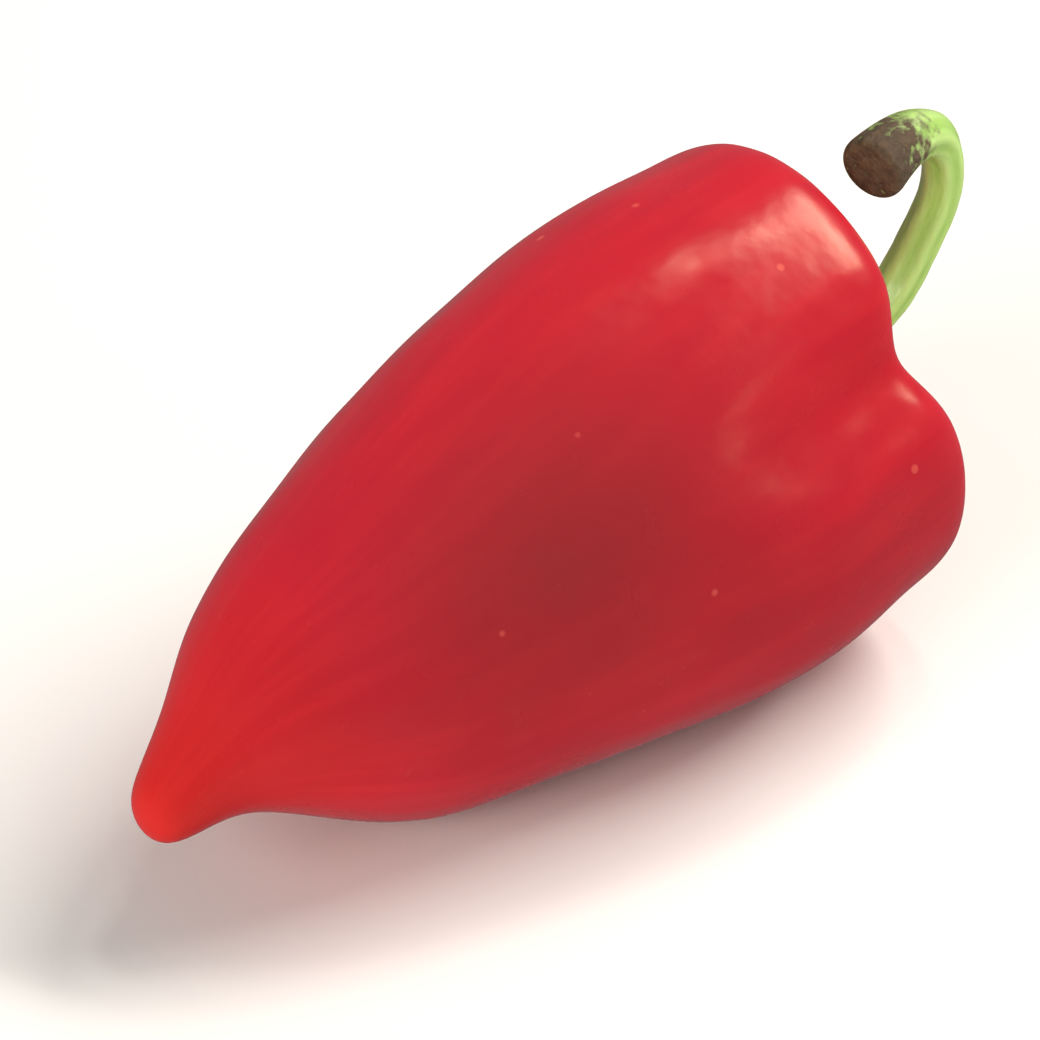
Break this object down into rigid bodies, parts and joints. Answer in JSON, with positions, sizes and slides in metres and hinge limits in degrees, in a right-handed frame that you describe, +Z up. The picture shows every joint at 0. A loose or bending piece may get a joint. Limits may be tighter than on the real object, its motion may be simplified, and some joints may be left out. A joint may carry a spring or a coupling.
{
  "type": "piquillo pepper",
  "caption": "Small pointed red sweet pepper as picked, lying on its belly, with a lobed crown, a green pointed calyx and a hooked green stem.",
  "frame": {"origin": "on the surface that the pepper lies on, under the middle of its bounding box", "axes": "+Z up, +X from the pointed tip towards the crown and stem, +Y to the left when looking from the tip to the crown"},
  "size_m": [0.1026, 0.0494, 0.049],
  "materials": {
    "skin": "smooth waxy skin, soft gloss",
    "calyx": "leathery, finely ridged, matt",
    "stem": "ribbed green skin, satin, with a dry brown end"
  },
  "bodies": {
    "root": {"fruit": "skin", "calyx": "calyx", "stem": "stem"}
  },
  "joints": []
}
